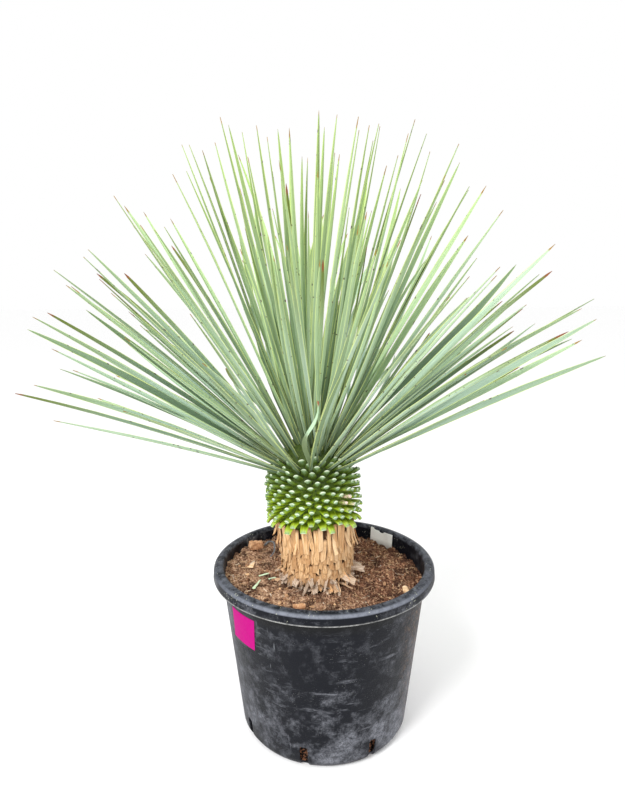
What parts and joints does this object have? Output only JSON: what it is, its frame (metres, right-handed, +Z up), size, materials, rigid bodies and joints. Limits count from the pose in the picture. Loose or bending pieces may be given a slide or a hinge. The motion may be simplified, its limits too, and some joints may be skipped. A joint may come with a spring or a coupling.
{
  "type": "potted beaked yucca",
  "caption": "Beaked yucca: round rosette of narrow stiff blue-green leaves on a short trunk ringed by cut leaf bases, in a round black tapered nursery pot filled with peat soil.",
  "frame": {"origin": "centre of the pot's flat base face", "axes": "+Z up along the pot's axis, -Y towards the front as pictured, +X to the viewer's right"},
  "size_m": [0.9115, 0.8708, 1.03],
  "materials": {
    "black_plastic": "matte",
    "peat": "rough fibrous peat",
    "dead_leaf_base": "dry fibrous leaf bases",
    "cut_leaf_base": "fresh green fibre",
    "leaf": "waxy leaf",
    "grey_plastic": "satin",
    "magenta_paper": "coated paper",
    "grey_root": "dry root",
    "bark": "rough bark"
  },
  "bodies": {
    "root": {"pot": "black_plastic", "soil": "peat", "trunk_old_bases": "dead_leaf_base", "trunk_green_bases": "cut_leaf_base", "leaf_head": "leaf", "plant_label": "grey_plastic", "sticker": "magenta_paper", "dead_root": "grey_root", "bark_block": "bark", "bark_chip_left": "bark", "bark_chip_right": "bark", "bark_chip_front": "bark", "leaf_clipping_1": "cut_leaf_base", "leaf_clipping_2": "cut_leaf_base", "leaf_clipping_3": "cut_leaf_base"}
  },
  "joints": []
}
